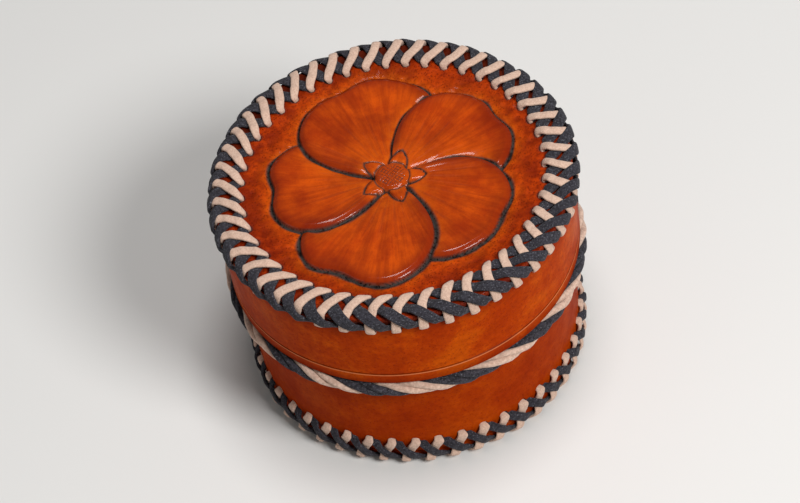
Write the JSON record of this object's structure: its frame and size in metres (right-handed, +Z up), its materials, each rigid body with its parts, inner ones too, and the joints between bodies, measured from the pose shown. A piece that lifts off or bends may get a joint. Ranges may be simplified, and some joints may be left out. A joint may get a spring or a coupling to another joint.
{
  "type": "leather jewelry box",
  "caption": "Round lidded box of tooled leather with two-colour laced edges, a twisted cord round the base that seats the lift-off lid, and a carved flower on top.",
  "frame": {"origin": "centre of the outline at the level of the surface that the box stands on", "axes": "+Z up along the axis of the box, front of the box towards -Y"},
  "size_m": [0.1185, 0.1186, 0.0808],
  "materials": {
    "leather": "glossy dyed vegetable-tanned leather",
    "lining": "matt suede",
    "lace_cream": "matt suede lace",
    "lace_dark": "matt suede lace"
  },
  "bodies": {
    "base": {"base_panel": "leather", "base_floor_lining": "lining", "base_wall": "leather", "base_wall_lining": "lining", "base_lace_cream": "lace_cream", "base_lace_dark": "lace_dark", "rim_cord_cream_1": "lace_cream", "rim_cord_cream_2": "lace_cream", "rim_cord_dark_1": "lace_dark", "rim_cord_dark_2": "lace_dark"},
    "lid": {"lid_panel": "leather", "lid_panel_lining": "lining", "lid_wall": "leather", "lid_wall_lining": "lining", "lid_lace_cream": "lace_cream", "lid_lace_dark": "lace_dark"}
  },
  "joints": [
    {"name": "lid_lift", "type": "slide", "parent": "base", "child": "lid", "axis": [0, 0, 1], "range_m": [0, 0.06]}
  ]
}
